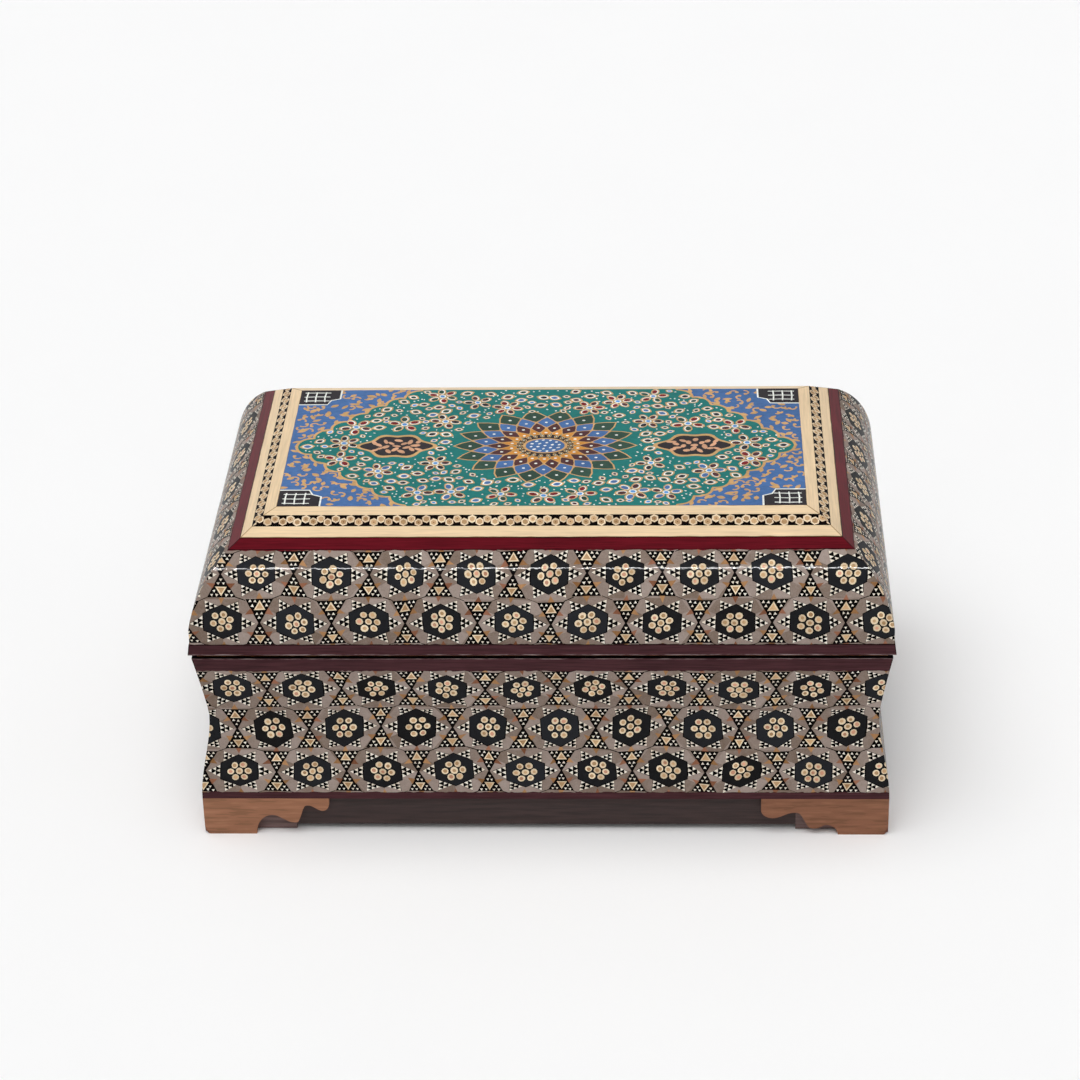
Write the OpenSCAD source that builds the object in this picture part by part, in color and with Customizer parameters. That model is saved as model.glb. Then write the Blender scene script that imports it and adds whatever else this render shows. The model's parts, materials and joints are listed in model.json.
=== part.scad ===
// Inlaid wooden box: a moulded base on four bracket feet and a hinged lid with a painted panel.
// Millimetres, +Z up, front towards -Y, origin on the table under the middle of the whole box.

/* [Overall] */
// Width over the lip of the lid
box_w = 190; // [150:1:240]
// Depth over the lip of the lid
box_d = 116; // [100:1:140]
// Gap of the seam between base and lid
seam = 1.5; // [0.8:0.1:2]
// Distance from the lip of the lid to the inside face of the walls
wall_in = 13; // [12:0.5:16]
// Thickness of the inlay veneer and of the edge bands
veneer_t = 1.3; // [0.8:0.1:1.8]

/* [Base] */
// Height of the base walls
base_h = 45.2; // [36:0.1:70]
// Distance from the lip of the lid to the top edge of the base
base_top_in = 0.8; // [0.2:0.1:2]
// Distance from the lip of the lid to the waist of the base
waist_in = 3.8; // [2:0.1:5]
// Distance from the lip of the lid to the bottom edge of the base
base_foot_in = 0.45; // [0:0.05:2]
// Height of the waist above the bottom edge of the base
waist_h = 25.7; // [20:0.1:28]
// Height of the band along the top edge
upper_band_h = 4.3; // [3:0.1:9]
// Height of the band along the bottom edge
lower_band_h = 2; // [1.5:0.1:5]
// Thickness of the floor board
floor_t = 4; // [3:0.1:7]

/* [Lid] */
// Height of the band along the lip
rim_band_h = 2.9; // [2:0.1:5]
// How far the lip stands proud of the inlaid side
lip_out = 0.65; // [0.2:0.05:1]
// Height of the upright stretch of the inlaid side
upright_h = 4.5; // [2:0.1:10]
// Radius of the swelling side of the lid
ovolo_r = 30.8; // [26:0.1:36]
// Direction that the swelling side faces at its lower end, above the horizontal
ovolo_from = 9; // [4:1:14]
// Direction that the swelling side faces at its upper end, above the horizontal
ovolo_to = 50; // [46:1:54]
// Thickness of the painted panel
panel_t = 2; // [1.5:0.1:3]
// Thickness of the edge of the top board
board_edge_t = 5; // [3:0.1:7]
// Width of the ledge that carries the top board
ledge_w = 5; // [3:0.1:8]
// Thickness of that ledge
ledge_t = 5; // [4:0.1:7]

/* [Borders round the panel] */
// Width of the red strip
red_w = 3.8; // [2:0.1:5]
// Width of each bone strip
bone_w = 3.4; // [2:0.1:5]
// Width of the inlaid strip between the bone strips
inlay_w = 3.45; // [2:0.05:5]
// Slope of the outer three strips
border_slope = 32; // [20:1:38]
// Slope of the innermost strip
inner_slope = 15; // [5:1:18]

/* [Feet, blocks and rails] */
// Height of the feet
foot_h = 11.8; // [10:0.1:18]
// Length of each foot along the walls
foot_l = 35; // [30:0.1:40]
// Thickness of the feet
foot_t = 2.4; // [2:0.1:4]
// Radius of the outer toe
toe_r = 1.4; // [0.5:0.1:2.5]
// Length along the walls of the glued block behind each foot
block_l = 23; // [18:0.1:26]
// Thickness of the blocks and of the rails between them
block_t = 5; // [3:0.1:6]
// Gap between a block and the table
block_gap = 0.3; // [0.1:0.1:1]
// Gap between a rail and the table
rail_gap = 1.8; // [0.5:0.1:3]

/* [Lining] */
// Thickness of the lining cards
lining_t = 1; // [0.6:0.1:2]
// Play between the lining of the base and the lining of the lid
lining_play = 0.1; // [0.05:0.05:0.3]

/* [Hinges] */
// Distance between the middles of the two hinges
hinge_span = 112; // [80:1:130]
// Length of a hinge
hinge_l = 18; // [14:1:24]
// Reach of a leaf in from the lip
leaf_d = 9; // [7.5:0.1:10]
// Thickness of a leaf
leaf_t = 0.8; // [0.6:0.05:1]
// Diameter of the barrel
barrel_d = 3.4; // [3:0.1:4]
// Diameter of the pin
pin_d = 1.6; // [1.2:0.1:1.8]
// Diameter of a screw shank
screw_d = 1.5; // [1.2:0.1:1.6]
// Diameter of a screw head
head_d = 2.9; // [2.4:0.1:3.2]
// Length of a screw
screw_l = 6; // [4:0.1:8]

/* [Hidden] */
SIDES = ["right", "back", "left", "front"];
CORNERS = [["front_left", -1, -1, 0], ["front_right", 1, -1, 1], ["back_left", -1, 1, 1], ["back_right", 1, 1, 0]];

RED = "#5e1522";
BONE = "#ebcfa6";
INLAY = "#6f6556";
CORE = "#b98a5a";
FOOT = "#8a5640";
RAIL = "#3a2b29";
BLOCK = "#6b5350";
VELVET = "#6b1020";
BRASS = "#c9a24a";

half_w = box_w / 2;
half_d = box_d / 2;
cut = 0.01;          // how far a solid runs into its neighbour where the two become one
spare = 1;           // how far a cutting shape runs past what it cuts
mitre_gap = 0.03;    // how much each end of a side is cut back in its mitre
arc_steps = 14;      // steps of the lid's curve
face_step = 2.7;     // longest step of the base's curve

// Heights of the base
base_z0 = foot_h;
base_z1 = base_z0 + base_h;
base_inlay_z0 = base_z0 + lower_band_h;
base_inlay_z1 = base_z1 - upper_band_h;
seam_z = base_z1 + seam / 2;

// Heights of the lid
lid_z0 = base_z1 + seam;
rim_z1 = lid_z0 + rim_band_h;
ovolo_z0 = rim_z1 + upright_h;
ovolo_centre_z = ovolo_z0 - ovolo_r * sin(ovolo_from);
ovolo_centre_in = lip_out + ovolo_r * cos(ovolo_from);

// Where the borders meet, as [distance in from the lip, height]
red_edge = [ovolo_centre_in - ovolo_r * cos(ovolo_to), ovolo_centre_z + ovolo_r * sin(ovolo_to)];
function up_slope(p, w, slope) = p + w * [cos(slope), sin(slope)];
outer_bone_edge = up_slope(red_edge, red_w, border_slope);
inlay_edge = up_slope(outer_bone_edge, bone_w, border_slope);
inner_bone_edge = up_slope(inlay_edge, inlay_w, border_slope);
panel_edge = up_slope(inner_bone_edge, bone_w, inner_slope);
panel_in = panel_edge[0];
lid_z1 = panel_edge[1];
ledge_z1 = lid_z1 - panel_t - board_edge_t;
ledge_z0 = ledge_z1 - ledge_t;

// The same places on the underside of the strips; each joint is cut halfway between its two slopes
function sunk(p, facing, depth) = p + depth * [cos(facing), -sin(facing)];
function joint_depth(turn) = veneer_t / cos(turn / 2);
red_under = sunk(red_edge, (ovolo_to + 90 - border_slope) / 2, joint_depth(90 - border_slope - ovolo_to));
outer_bone_under = sunk(outer_bone_edge, 90 - border_slope, veneer_t);
inlay_under = sunk(inlay_edge, 90 - border_slope, veneer_t);
inner_bone_under = sunk(inner_bone_edge, 90 - (border_slope + inner_slope) / 2,
    joint_depth(border_slope - inner_slope));
panel_under = [panel_in, lid_z1 - veneer_t / cos(inner_slope)];

// Hinge line, just behind the lip
barrel_play = 0.2;   // gap between the barrel and the lip
leaf_play = 0.05;    // gap from each leaf to the hinge line
pin_play = 0.03;     // gap round the pin
knuckle_play = 0.15; // gap between two knuckles
hinge_y = half_d + barrel_play + barrel_d / 2;
mortise_play = 0.1;  // gap round a leaf in its mortise
shank_play = 0.03;   // gap round a screw in its pilot hole
pilot_spare = 0.5;   // how much deeper a pilot hole is than its screw
point_l = 0.6;       // length of a screw's point
shift_y = -(barrel_play + barrel_d) / 2;   // puts the origin under the middle, barrels included

// ---------------------------------------------------------------- curves

// Distance in from the lip of the base's face at height h above its bottom edge
function base_face_in(h) =
    h <= waist_h
    ? base_foot_in + (waist_in - base_foot_in) * (1 - cos(180 * h / waist_h)) / 2
    : waist_in - (waist_in - base_top_in) * pow((h - waist_h) / (base_h - waist_h), 1.15);

// The base's face from height z0 up to height z1, moved inwards by depth
function base_face(z0, z1, depth) = let (steps = ceil((z1 - z0) / face_step))
    [for (i = [0:steps]) let (z = z0 + (z1 - z0) * i / steps) [base_face_in(z - base_z0) + depth, z]];

// The wood's face behind the veneers, in the same steps as each of them
function wall_face() = concat(
    without_last(base_face(base_z0, base_inlay_z0, veneer_t)),
    without_last(base_face(base_inlay_z0, base_inlay_z1, veneer_t)),
    base_face(base_inlay_z1, base_z1, veneer_t));

// The inlaid side of the lid from the rim band up to the red strip, moved inwards by depth
function lid_face(depth) = concat(
    [[lip_out + depth, rim_z1]],
    [for (i = [0:arc_steps])
        let (a = ovolo_from + (ovolo_to - ovolo_from) * i / arc_steps)
        [ovolo_centre_in - (ovolo_r - depth) * cos(a), ovolo_centre_z + (ovolo_r - depth) * sin(a)]]);

function without_last(list) = [for (i = [0:len(list) - 2]) list[i]];
function reversed(list) = [for (i = [len(list) - 1:-1:0]) list[i]];
function skin(outside, inside) = concat(outside, reversed(inside));

// ---------------------------------------------------------------- shared modules

// One side of the box, drawn as a profile of [distance in from the lip, height] points and mitred
// at 45 degrees at both ends. side: 0 right, 1 back, 2 left, 3 front.
module mitred_side(side, profile) {
    out = side % 2 == 0 ? half_w : half_d;
    along = side % 2 == 0 ? half_d : half_w;
    reach = half_d - spare;   // how far in from the lip the mitres run
    ends = along - mitre_gap;
    translate([0, shift_y, 0])
        rotate([0, 0, 90 * side])
            intersection() {
                translate([out, 0, 0])
                    rotate([90, 0, 0])
                        linear_extrude(height = 2 * along, center = true)
                            polygon([for (p = profile) [-p[0], p[1]]]);
                linear_extrude(height = lid_z1 + spare)
                    polygon([[out, -ends], [out, ends], [out - reach, ends - reach], [out - reach, reach - ends]]);
            }
}

// A frame of four mitred strips
module mitred_frame(profile) {
    for (side = [0:3])
        mitred_side(side, profile);
}

// A board that fills the box up to a distance in from the lip
module inner_board(inset, z0, z1) {
    translate([inset - half_w, inset - half_d + shift_y, z0])
        cube([box_w - 2 * inset, box_d - 2 * inset, z1 - z0]);
}

// Puts a child at each hinge, on the hinge line: -1 left, 1 right
module at_hinge(sign) {
    translate([sign * hinge_span / 2, hinge_y + shift_y, seam_z])
        children();
}

// Space that the leaves of both hinges need in the wood and the bands on either side of the seam
module mortises() {
    depth = leaf_t + leaf_play + mortise_play;
    for (sign = [-1, 1])
        at_hinge(sign)
            translate([-hinge_l / 2 - mortise_play, half_d - hinge_y - leaf_d - mortise_play, -depth])
                cube([hinge_l + 2 * mortise_play, leaf_d + mortise_play + hinge_y - half_d, 2 * depth]);
}

// Places of the two screws in a leaf, from the hinge line
module at_screws() {
    for (sign = [-1, 1])
        translate([sign * hinge_l * 0.3, half_d - hinge_y - (leaf_d + base_top_in) / 2, 0])
            children();
}

// Pilot holes of the screws that point down (up = -1) or up (up = 1)
module pilot_holes(up) {
    for (sign = [-1, 1])
        at_hinge(sign)
            at_screws()
                mirror([0, 0, up > 0 ? 0 : 1])
                    cylinder(d = screw_d, h = screw_l + pilot_spare, $fn = 24);
}

// ---------------------------------------------------------------- base

module base_wall(side) {
    profile = concat(wall_face(), [[wall_in, base_z1], [wall_in, base_z0]]);
    color(CORE)
        difference() {
            mitred_side(side, profile);
            if (side == 1) {
                mortises();
                pilot_holes(-1);
            }
        }
}

module base_floor() {
    color(CORE)
        inner_board(wall_in, base_z0, base_z0 + floor_t);
}

module base_khatam(side) {
    color(INLAY)
        mitred_side(side, skin(base_face(base_inlay_z0, base_inlay_z1, 0),
            base_face(base_inlay_z0, base_inlay_z1, veneer_t)));
}

module base_upper_band() {
    color(RED)
        difference() {
            mitred_frame(skin(base_face(base_inlay_z1, base_z1, 0), base_face(base_inlay_z1, base_z1, veneer_t)));
            mortises();
        }
}

module base_lower_band() {
    color(RED)
        mitred_frame(skin(base_face(base_z0, base_inlay_z0, 0), base_face(base_z0, base_inlay_z0, veneer_t)));
}

module base_floor_lining() {
    color(VELVET)
        inner_board(wall_in, base_z0 + floor_t, base_z0 + floor_t + lining_t);
}

// Four cards that stand proud of the walls by the seam, so that the lid lands on them
module base_side_lining() {
    z0 = base_z0 + floor_t + lining_t;
    z1 = lid_z0 - lining_play;
    color(VELVET)
        mitred_frame([[wall_in, z0], [wall_in, z1], [wall_in + lining_t, z1], [wall_in + lining_t, z0]]);
}

// ---------------------------------------------------------------- feet and rails

// A foot's lower edge runs through these turning points, as shares of its length and height:
// tip, arch, inner lobe, arch, start of the sole. The feet are cut by hand, in two patterns.
SCROLLS = [
    [[0.946, 0.65], [0.834, 0.8], [0.717, 0.32], [0.541, 0.534], [0.41, 0]],
    [[0.907, 0.46], [0.741, 0.614], [0.576, 0.166], [0.486, 0.27], [0.395, 0]]];
curl_steps = 8;
steep = 1.45;        // how much steeper the inner end of a lobe is cut than its outer end

// Smooth run from turning point a to turning point b
function curl(a, b, tight = 1) = [for (i = [1:curl_steps])
    let (t = i / curl_steps, u = min(1, max(0, 0.5 + (t - 0.5) * tight)))
    [a[0] + (b[0] - a[0]) * t, a[1] + (b[1] - a[1]) * (1 - cos(180 * u)) / 2]];

// Quarter of an oval from its top a down to b
function quarter(a, b) = [for (i = [1:curl_steps])
    let (t = 90 * i / curl_steps) [a[0] + (b[0] - a[0]) * sin(t), b[1] + (a[1] - b[1]) * cos(t)]];

// Outline of a foot, seen square on: along the wall from the corner, and up
function foot_outline(scroll) =
    let (p = [for (q = scroll) [q[0] * foot_l, q[1] * foot_h]])
    concat(
        [[0, foot_h], [foot_l, foot_h]],
        [for (i = [0:curl_steps])
            let (t = 90 * i / curl_steps)
            [p[0][0] + (foot_l - p[0][0]) * cos(t), p[0][1] + 0.22 * foot_h * (1 - sin(t))]],
        curl(p[0], p[1]), curl(p[1], p[2], steep), curl(p[2], p[3]), quarter(p[3], p[4]),
        [for (i = [0:curl_steps])
            let (t = 90 * i / curl_steps) [toe_r * (1 - sin(t)), 2.4 * toe_r * (1 - cos(t))]]);

// Places a child, drawn for the front left corner with that corner of the feet at the origin, at corner c
module at_corner(c) {
    translate([0, shift_y, 0])
        mirror([c[1] > 0 ? 1 : 0, 0, 0])
            mirror([0, c[2] > 0 ? 1 : 0, 0])
                translate([base_foot_in - half_w, base_foot_in - half_d, 0])
                    children();
}

// A bracket foot: two plates that meet in a mitre at the corner of the box
module foot(c) {
    color(FOOT)
        at_corner(c)
            for (swap = [0, 1])
                mirror([swap, -swap, 0])
                    intersection() {
                        translate([0, foot_t, 0])
                            rotate([90, 0, 0])
                                linear_extrude(height = foot_t)
                                    polygon(foot_outline(SCROLLS[c[3]]));
                        linear_extrude(height = foot_h + spare)
                            polygon([[0, 0], [foot_l + spare, 0], [foot_l + spare, foot_t + spare],
                                [foot_t + spare, foot_t + spare]]);
                    }
}

// The glued block that backs a foot in its corner
module foot_block(c) {
    far = foot_t + block_l;
    near = foot_t + block_t;
    color(BLOCK)
        at_corner(c)
            translate([0, 0, block_gap])
                linear_extrude(height = foot_h - block_gap)
                    polygon([[foot_t, foot_t], [far, foot_t], [far, near], [near, near], [near, far], [foot_t, far]]);
}

// A dark rail between two blocks, under the wall
module rail(side) {
    out = side % 2 == 0 ? half_w : half_d;
    along = side % 2 == 0 ? half_d : half_w;
    inset = base_foot_in + foot_t;
    length = 2 * (along - inset - block_l);
    color(RAIL)
        translate([0, shift_y, 0])
            rotate([0, 0, 90 * side])
                translate([out - inset - block_t, -length / 2, rail_gap])
                    cube([block_t, length, foot_h - rail_gap]);
}

// ---------------------------------------------------------------- lid

module lid_moulding(side) {
    rim_in = veneer_t;
    profile = concat(
        [[wall_in, lid_z0], [rim_in, lid_z0], [rim_in, rim_z1]],
        without_last(lid_face(veneer_t)),
        [red_under, inner_bone_under, panel_under, [panel_in, ledge_z1],
            [panel_in + ledge_w, ledge_z1], [panel_in + ledge_w, ledge_z0], [wall_in, ledge_z0]]);
    color(CORE)
        difference() {
            mitred_side(side, profile);
            if (side == 1) {
                mortises();
                pilot_holes(1);
            }
        }
}

// The board lies on the ledge; its middle is thicker and ends flush with the ledge's underside
module lid_top_board() {
    color(CORE)
        union() {
            inner_board(panel_in, ledge_z1, lid_z1 - panel_t);
            inner_board(panel_in + ledge_w, ledge_z0, ledge_z1 + cut);
        }
}

module painted_panel() {
    color("#2f7f78")
        inner_board(panel_in, lid_z1 - panel_t, lid_z1);
}

module inner_bone_border() {
    color(BONE)
        mitred_frame([inner_bone_edge, panel_edge, panel_under, inner_bone_under]);
}

module inlay_border() {
    color(INLAY)
        mitred_frame([inlay_edge, inner_bone_edge, inner_bone_under, inlay_under]);
}

module outer_bone_border() {
    color(BONE)
        mitred_frame([outer_bone_edge, inlay_edge, inlay_under, outer_bone_under]);
}

module red_border() {
    color(RED)
        mitred_frame([red_edge, outer_bone_edge, outer_bone_under, red_under]);
}

module lid_khatam(side) {
    color(INLAY)
        mitred_side(side, skin(lid_face(0), concat(without_last(lid_face(veneer_t)), [red_under])));
}

// The band stands proud of the inlay and forms the lip
module lid_rim_band() {
    color(RED)
        difference() {
            mitred_frame([[0, lid_z0], [lip_out * 0.6, rim_z1], [veneer_t, rim_z1], [veneer_t, lid_z0]]);
            mortises();
        }
}

module lid_top_lining() {
    color(VELVET)
        inner_board(wall_in, ledge_z0 - lining_t, ledge_z0);
}

module lid_side_lining() {
    z1 = ledge_z0 - lining_t;
    color(VELVET)
        mitred_frame([[wall_in, lid_z0], [wall_in, z1], [wall_in + lining_t, z1], [wall_in + lining_t, lid_z0]]);
}

// ---------------------------------------------------------------- hinges

knuckle_l = (hinge_l - 2 * knuckle_play) / 3;

// A knuckle of the barrel, from x0 along X
module knuckle(x0) {
    translate([x0, 0, 0])
        rotate([0, 90, 0])
            cylinder(d = barrel_d, h = knuckle_l, $fn = 48);
}

// A leaf seen with the hinge line on the X axis; up = -1 lies below the seam and has the two outer
// knuckles, up = 1 lies above it and has the middle one.
module leaf(up) {
    starts = up > 0 ? [-knuckle_l / 2] : [-hinge_l / 2, hinge_l / 2 - knuckle_l];
    inner_y = half_d - hinge_y - leaf_d;
    edge_y = -barrel_d / 2 - barrel_play;
    z0 = up > 0 ? leaf_play : -leaf_play - leaf_t;
    difference() {
        union() {
            translate([-hinge_l / 2, inner_y, z0])
                cube([hinge_l, edge_y - inner_y, leaf_t]);
            for (x = starts) {
                knuckle(x);
                translate([x, edge_y - cut, z0])
                    cube([knuckle_l, -edge_y, leaf_t]);
            }
        }
        rotate([0, 90, 0])
            cylinder(d = pin_d + 2 * pin_play, h = 2 * hinge_l, center = true, $fn = 48);
        at_screws()
            screw_shape(up, pin_play);
    }
}

// A countersunk screw whose head ends flush with the leaf's face on the seam side, made larger by play
module screw_shape(up, play) {
    shank_r = screw_d / 2 - shank_play;
    mirror([0, 0, up > 0 ? 0 : 1])
        rotate_extrude($fn = 32)
            polygon([[0, leaf_play], [head_d / 2 + play, leaf_play], [shank_r + play, leaf_play + leaf_t * 0.8],
                [shank_r + play, screw_l - point_l], [0, screw_l]]);
}

module hinge_leaf(sign, up) {
    color(BRASS)
        at_hinge(sign)
            leaf(up);
}

module hinge_pin(sign) {
    color(BRASS)
        at_hinge(sign)
            rotate([0, 90, 0])
                cylinder(d = pin_d, h = hinge_l, center = true, $fn = 48);
}

module hinge_screws(up) {
    color(BRASS)
        for (sign = [-1, 1])
            at_hinge(sign)
                at_screws()
                    screw_shape(up, 0);
}

// ---------------------------------------------------------------- the whole box

for (side = [0:3]) {
    base_wall(side);
    base_khatam(side);
    rail(side);
    lid_moulding(side);
    lid_khatam(side);
}
for (c = CORNERS) {
    foot(c);
    foot_block(c);
}
base_floor();
base_upper_band();
base_lower_band();
base_floor_lining();
base_side_lining();
lid_top_board();
painted_panel();
inner_bone_border();
inlay_border();
outer_bone_border();
red_border();
lid_rim_band();
lid_top_lining();
lid_side_lining();
hinge_leaf(-1, -1);  // hinge_left_base_leaf
hinge_leaf(-1, 1);  // hinge_left_lid_leaf
hinge_pin(-1);  // hinge_left_pin
hinge_leaf(1, -1);  // hinge_right_base_leaf
hinge_leaf(1, 1);  // hinge_right_lid_leaf
hinge_pin(1);  // hinge_right_pin
hinge_screws(-1);  // base_hinge_screws
hinge_screws(1);  // lid_hinge_screws
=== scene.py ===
"""Looks of the inlaid wooden box: khatam inlay, painted panel, lacquered bands, oiled feet, light and camera.

Lengths are in millimetres until a mesh is made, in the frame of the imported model: front towards -Y.
"""
import json
import math
import random
from collections import Counter

import bpy
from mathutils import Matrix, Vector, noise
from mathutils.geometry import delaunay_2d_cdt


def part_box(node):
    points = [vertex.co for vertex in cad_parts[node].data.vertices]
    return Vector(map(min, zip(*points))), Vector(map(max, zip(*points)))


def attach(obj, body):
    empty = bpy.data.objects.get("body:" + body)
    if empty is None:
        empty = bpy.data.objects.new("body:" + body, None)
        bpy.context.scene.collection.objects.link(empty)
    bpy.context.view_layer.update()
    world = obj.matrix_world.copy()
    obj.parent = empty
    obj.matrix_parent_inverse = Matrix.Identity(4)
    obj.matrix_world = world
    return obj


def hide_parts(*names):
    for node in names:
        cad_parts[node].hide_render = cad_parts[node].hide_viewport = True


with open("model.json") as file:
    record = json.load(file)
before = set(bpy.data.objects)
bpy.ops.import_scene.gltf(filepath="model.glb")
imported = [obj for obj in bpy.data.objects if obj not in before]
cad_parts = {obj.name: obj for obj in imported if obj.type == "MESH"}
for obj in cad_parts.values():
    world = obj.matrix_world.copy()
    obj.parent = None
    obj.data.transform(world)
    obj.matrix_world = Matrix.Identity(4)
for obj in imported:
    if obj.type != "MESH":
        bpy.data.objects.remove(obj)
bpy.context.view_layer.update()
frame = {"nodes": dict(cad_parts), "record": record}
NODES = frame["nodes"]
SIDES = ("right", "back", "left", "front")
MM = 0.001
ROOT3 = math.sqrt(3)

lip_lo, lip_hi = (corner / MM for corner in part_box("lid_rim_band"))
MIDDLE = (lip_lo + lip_hi) / 2
HALF_W = (lip_hi.x - lip_lo.x) / 2
HALF_D = (lip_hi.y - lip_lo.y) / 2

# ---------------------------------------------------------------- camera

CAM_LENS = 105.47      # mm, on a 36 mm sensor
CAM_DISTANCE = 896.15  # from the point it looks at
CAM_DOWN = 0.5180      # radians below the horizon
CAM_YAW = -0.048
CAM_ROLL = -0.026
LOOK_X, LOOK_Z = -2.115, 60.996


def make_camera():
    data = bpy.data.cameras.new("camera")
    data.lens, data.sensor_width = CAM_LENS, 36.0
    data.clip_start, data.clip_end = 0.05, 50
    cam = bpy.data.objects.new("camera", data)
    bpy.context.scene.collection.objects.link(cam)
    cos_e, sin_e = math.cos(CAM_DOWN), math.sin(CAM_DOWN)
    right, up = Vector((1, 0, 0)), Vector((0, sin_e, cos_e))
    rolled_right = math.cos(CAM_ROLL) * right + math.sin(CAM_ROLL) * up
    rolled_up = math.cos(CAM_ROLL) * up - math.sin(CAM_ROLL) * right
    ahead = Vector((0, cos_e, -sin_e))
    place = Vector((LOOK_X, 0, LOOK_Z)) - ahead * CAM_DISTANCE
    turn = Matrix.Rotation(-CAM_YAW, 3, "Z")
    basis = turn @ Matrix((rolled_right, rolled_up, -ahead)).transposed()
    matrix = basis.to_4x4()
    matrix.translation = (turn @ place + Vector((MIDDLE.x, MIDDLE.y, 0))) * MM
    cam.matrix_world = matrix
    bpy.context.scene.camera = cam


# ---------------------------------------------------------------- node helpers


COAT_IOR = 1.12   # thin lacquer: faint face on, milky at a glance


def linear(rgb):
    """Scene-linear colour of an sRGB colour given in 0-255."""
    return tuple((c / 12.92 if c <= 0.04045 else ((c + 0.055) / 1.055) ** 2.4) for c in (v / 255 for v in rgb))


class Look:
    """A material and short ways to add nodes to it."""

    def __init__(self, name, roughness=0.4, specular=0.3, coat=0.0, coat_roughness=0.06, metallic=0.0):
        self.material = bpy.data.materials.new(name)
        self.material.use_nodes = True
        self.tree = self.material.node_tree
        self.shader = self.tree.nodes["Principled BSDF"]
        self.shader.inputs["Roughness"].default_value = roughness
        self.shader.inputs["Specular IOR Level"].default_value = specular
        self.shader.inputs["Coat Weight"].default_value = coat
        self.shader.inputs["Coat Roughness"].default_value = coat_roughness
        self.shader.inputs["Coat IOR"].default_value = COAT_IOR
        self.shader.inputs["Metallic"].default_value = metallic
        self.place = self.node("ShaderNodeTexCoord").outputs["Object"]

    def node(self, kind, **settings):
        made = self.tree.nodes.new(kind)
        for key, value in settings.items():
            setattr(made, key, value)
        return made

    def feed(self, socket, value):
        if isinstance(value, bpy.types.NodeSocket):
            self.tree.links.new(value, socket)
        else:
            socket.default_value = value

    def math(self, operation, *values, clamp=False):
        made = self.node("ShaderNodeMath", operation=operation, use_clamp=clamp)
        for socket, value in zip(made.inputs, values):
            self.feed(socket, value)
        return made.outputs[0]

    def noise(self, scale, detail=3.0, rough=0.55, vector=None, stretch=None):
        vector = self.place if vector is None else vector
        if stretch:
            made = self.node("ShaderNodeVectorMath", operation="MULTIPLY")
            self.feed(made.inputs[0], vector)
            made.inputs[1].default_value = stretch
            vector = made.outputs[0]
        made = self.node("ShaderNodeTexNoise")
        self.feed(made.inputs["Vector"], vector)
        made.inputs["Scale"].default_value = scale
        made.inputs["Detail"].default_value = detail
        made.inputs["Roughness"].default_value = rough
        return made.outputs["Factor"] if "Factor" in made.outputs else made.outputs["Fac"]

    def span(self, value, low, high, to_low=0.0, to_high=1.0, smooth=False):
        made = self.node("ShaderNodeMapRange", interpolation_type="SMOOTHSTEP" if smooth else "LINEAR")
        for socket, v in zip(made.inputs, (value, low, high, to_low, to_high)):
            self.feed(socket, v)
        return made.outputs[0]

    def mix(self, factor, a, b, blend="MIX"):
        made = self.node("ShaderNodeMix", data_type="RGBA", blend_type=blend)
        for index, value in ((0, factor), (6, a), (7, b)):
            if isinstance(value, tuple) and len(value) == 3:
                value = (*value, 1.0)
            self.feed(made.inputs[index], value)
        return made.outputs[2]

    def combine(self, x, y, z):
        made = self.node("ShaderNodeCombineXYZ")
        for socket, value in zip(made.inputs, (x, y, z)):
            self.feed(socket, value)
        return made.outputs[0]

    def split(self, vector):
        made = self.node("ShaderNodeSeparateXYZ")
        self.feed(made.inputs[0], vector)
        return made.outputs

    def attribute(self, name, output="Fac"):
        return self.node("ShaderNodeAttribute", attribute_name=name).outputs[output]

    def colour(self, value):
        self.feed(self.shader.inputs["Base Color"], value if isinstance(value, bpy.types.NodeSocket) else (*value, 1))

    def rough(self, value):
        self.feed(self.shader.inputs["Roughness"], value)

    def bump(self, height, strength, distance, coat=False):
        made = self.node("ShaderNodeBump")
        self.feed(made.inputs["Height"], height)
        made.inputs["Strength"].default_value = strength
        made.inputs["Distance"].default_value = distance
        self.feed(self.shader.inputs["Normal"], made.outputs[0])
        if coat:
            self.feed(self.shader.inputs["Coat Normal"], made.outputs[0])

    def frame_place(self):
        """(along, inset, mitre, z): place along a side, distance in from the lip, signed distance from the mitre, height, in metres."""
        x, y, z = self.split(self.place)
        y = self.math("SUBTRACT", y, MIDDLE.y * MM)
        in_x = self.math("SUBTRACT", HALF_W * MM, self.math("ABSOLUTE", x))
        in_y = self.math("SUBTRACT", HALF_D * MM, self.math("ABSOLUTE", y))
        inset = self.math("MINIMUM", in_x, in_y)
        mitre = self.math("SUBTRACT", in_x, in_y)
        on_end = self.math("LESS_THAN", mitre, 0.0)
        along = self.math("ADD", self.math("MULTIPLY", on_end, y),
                          self.math("MULTIPLY", self.math("SUBTRACT", 1.0, on_end), x))
        return along, inset, mitre, z


# ---------------------------------------------------------------- materials


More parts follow.
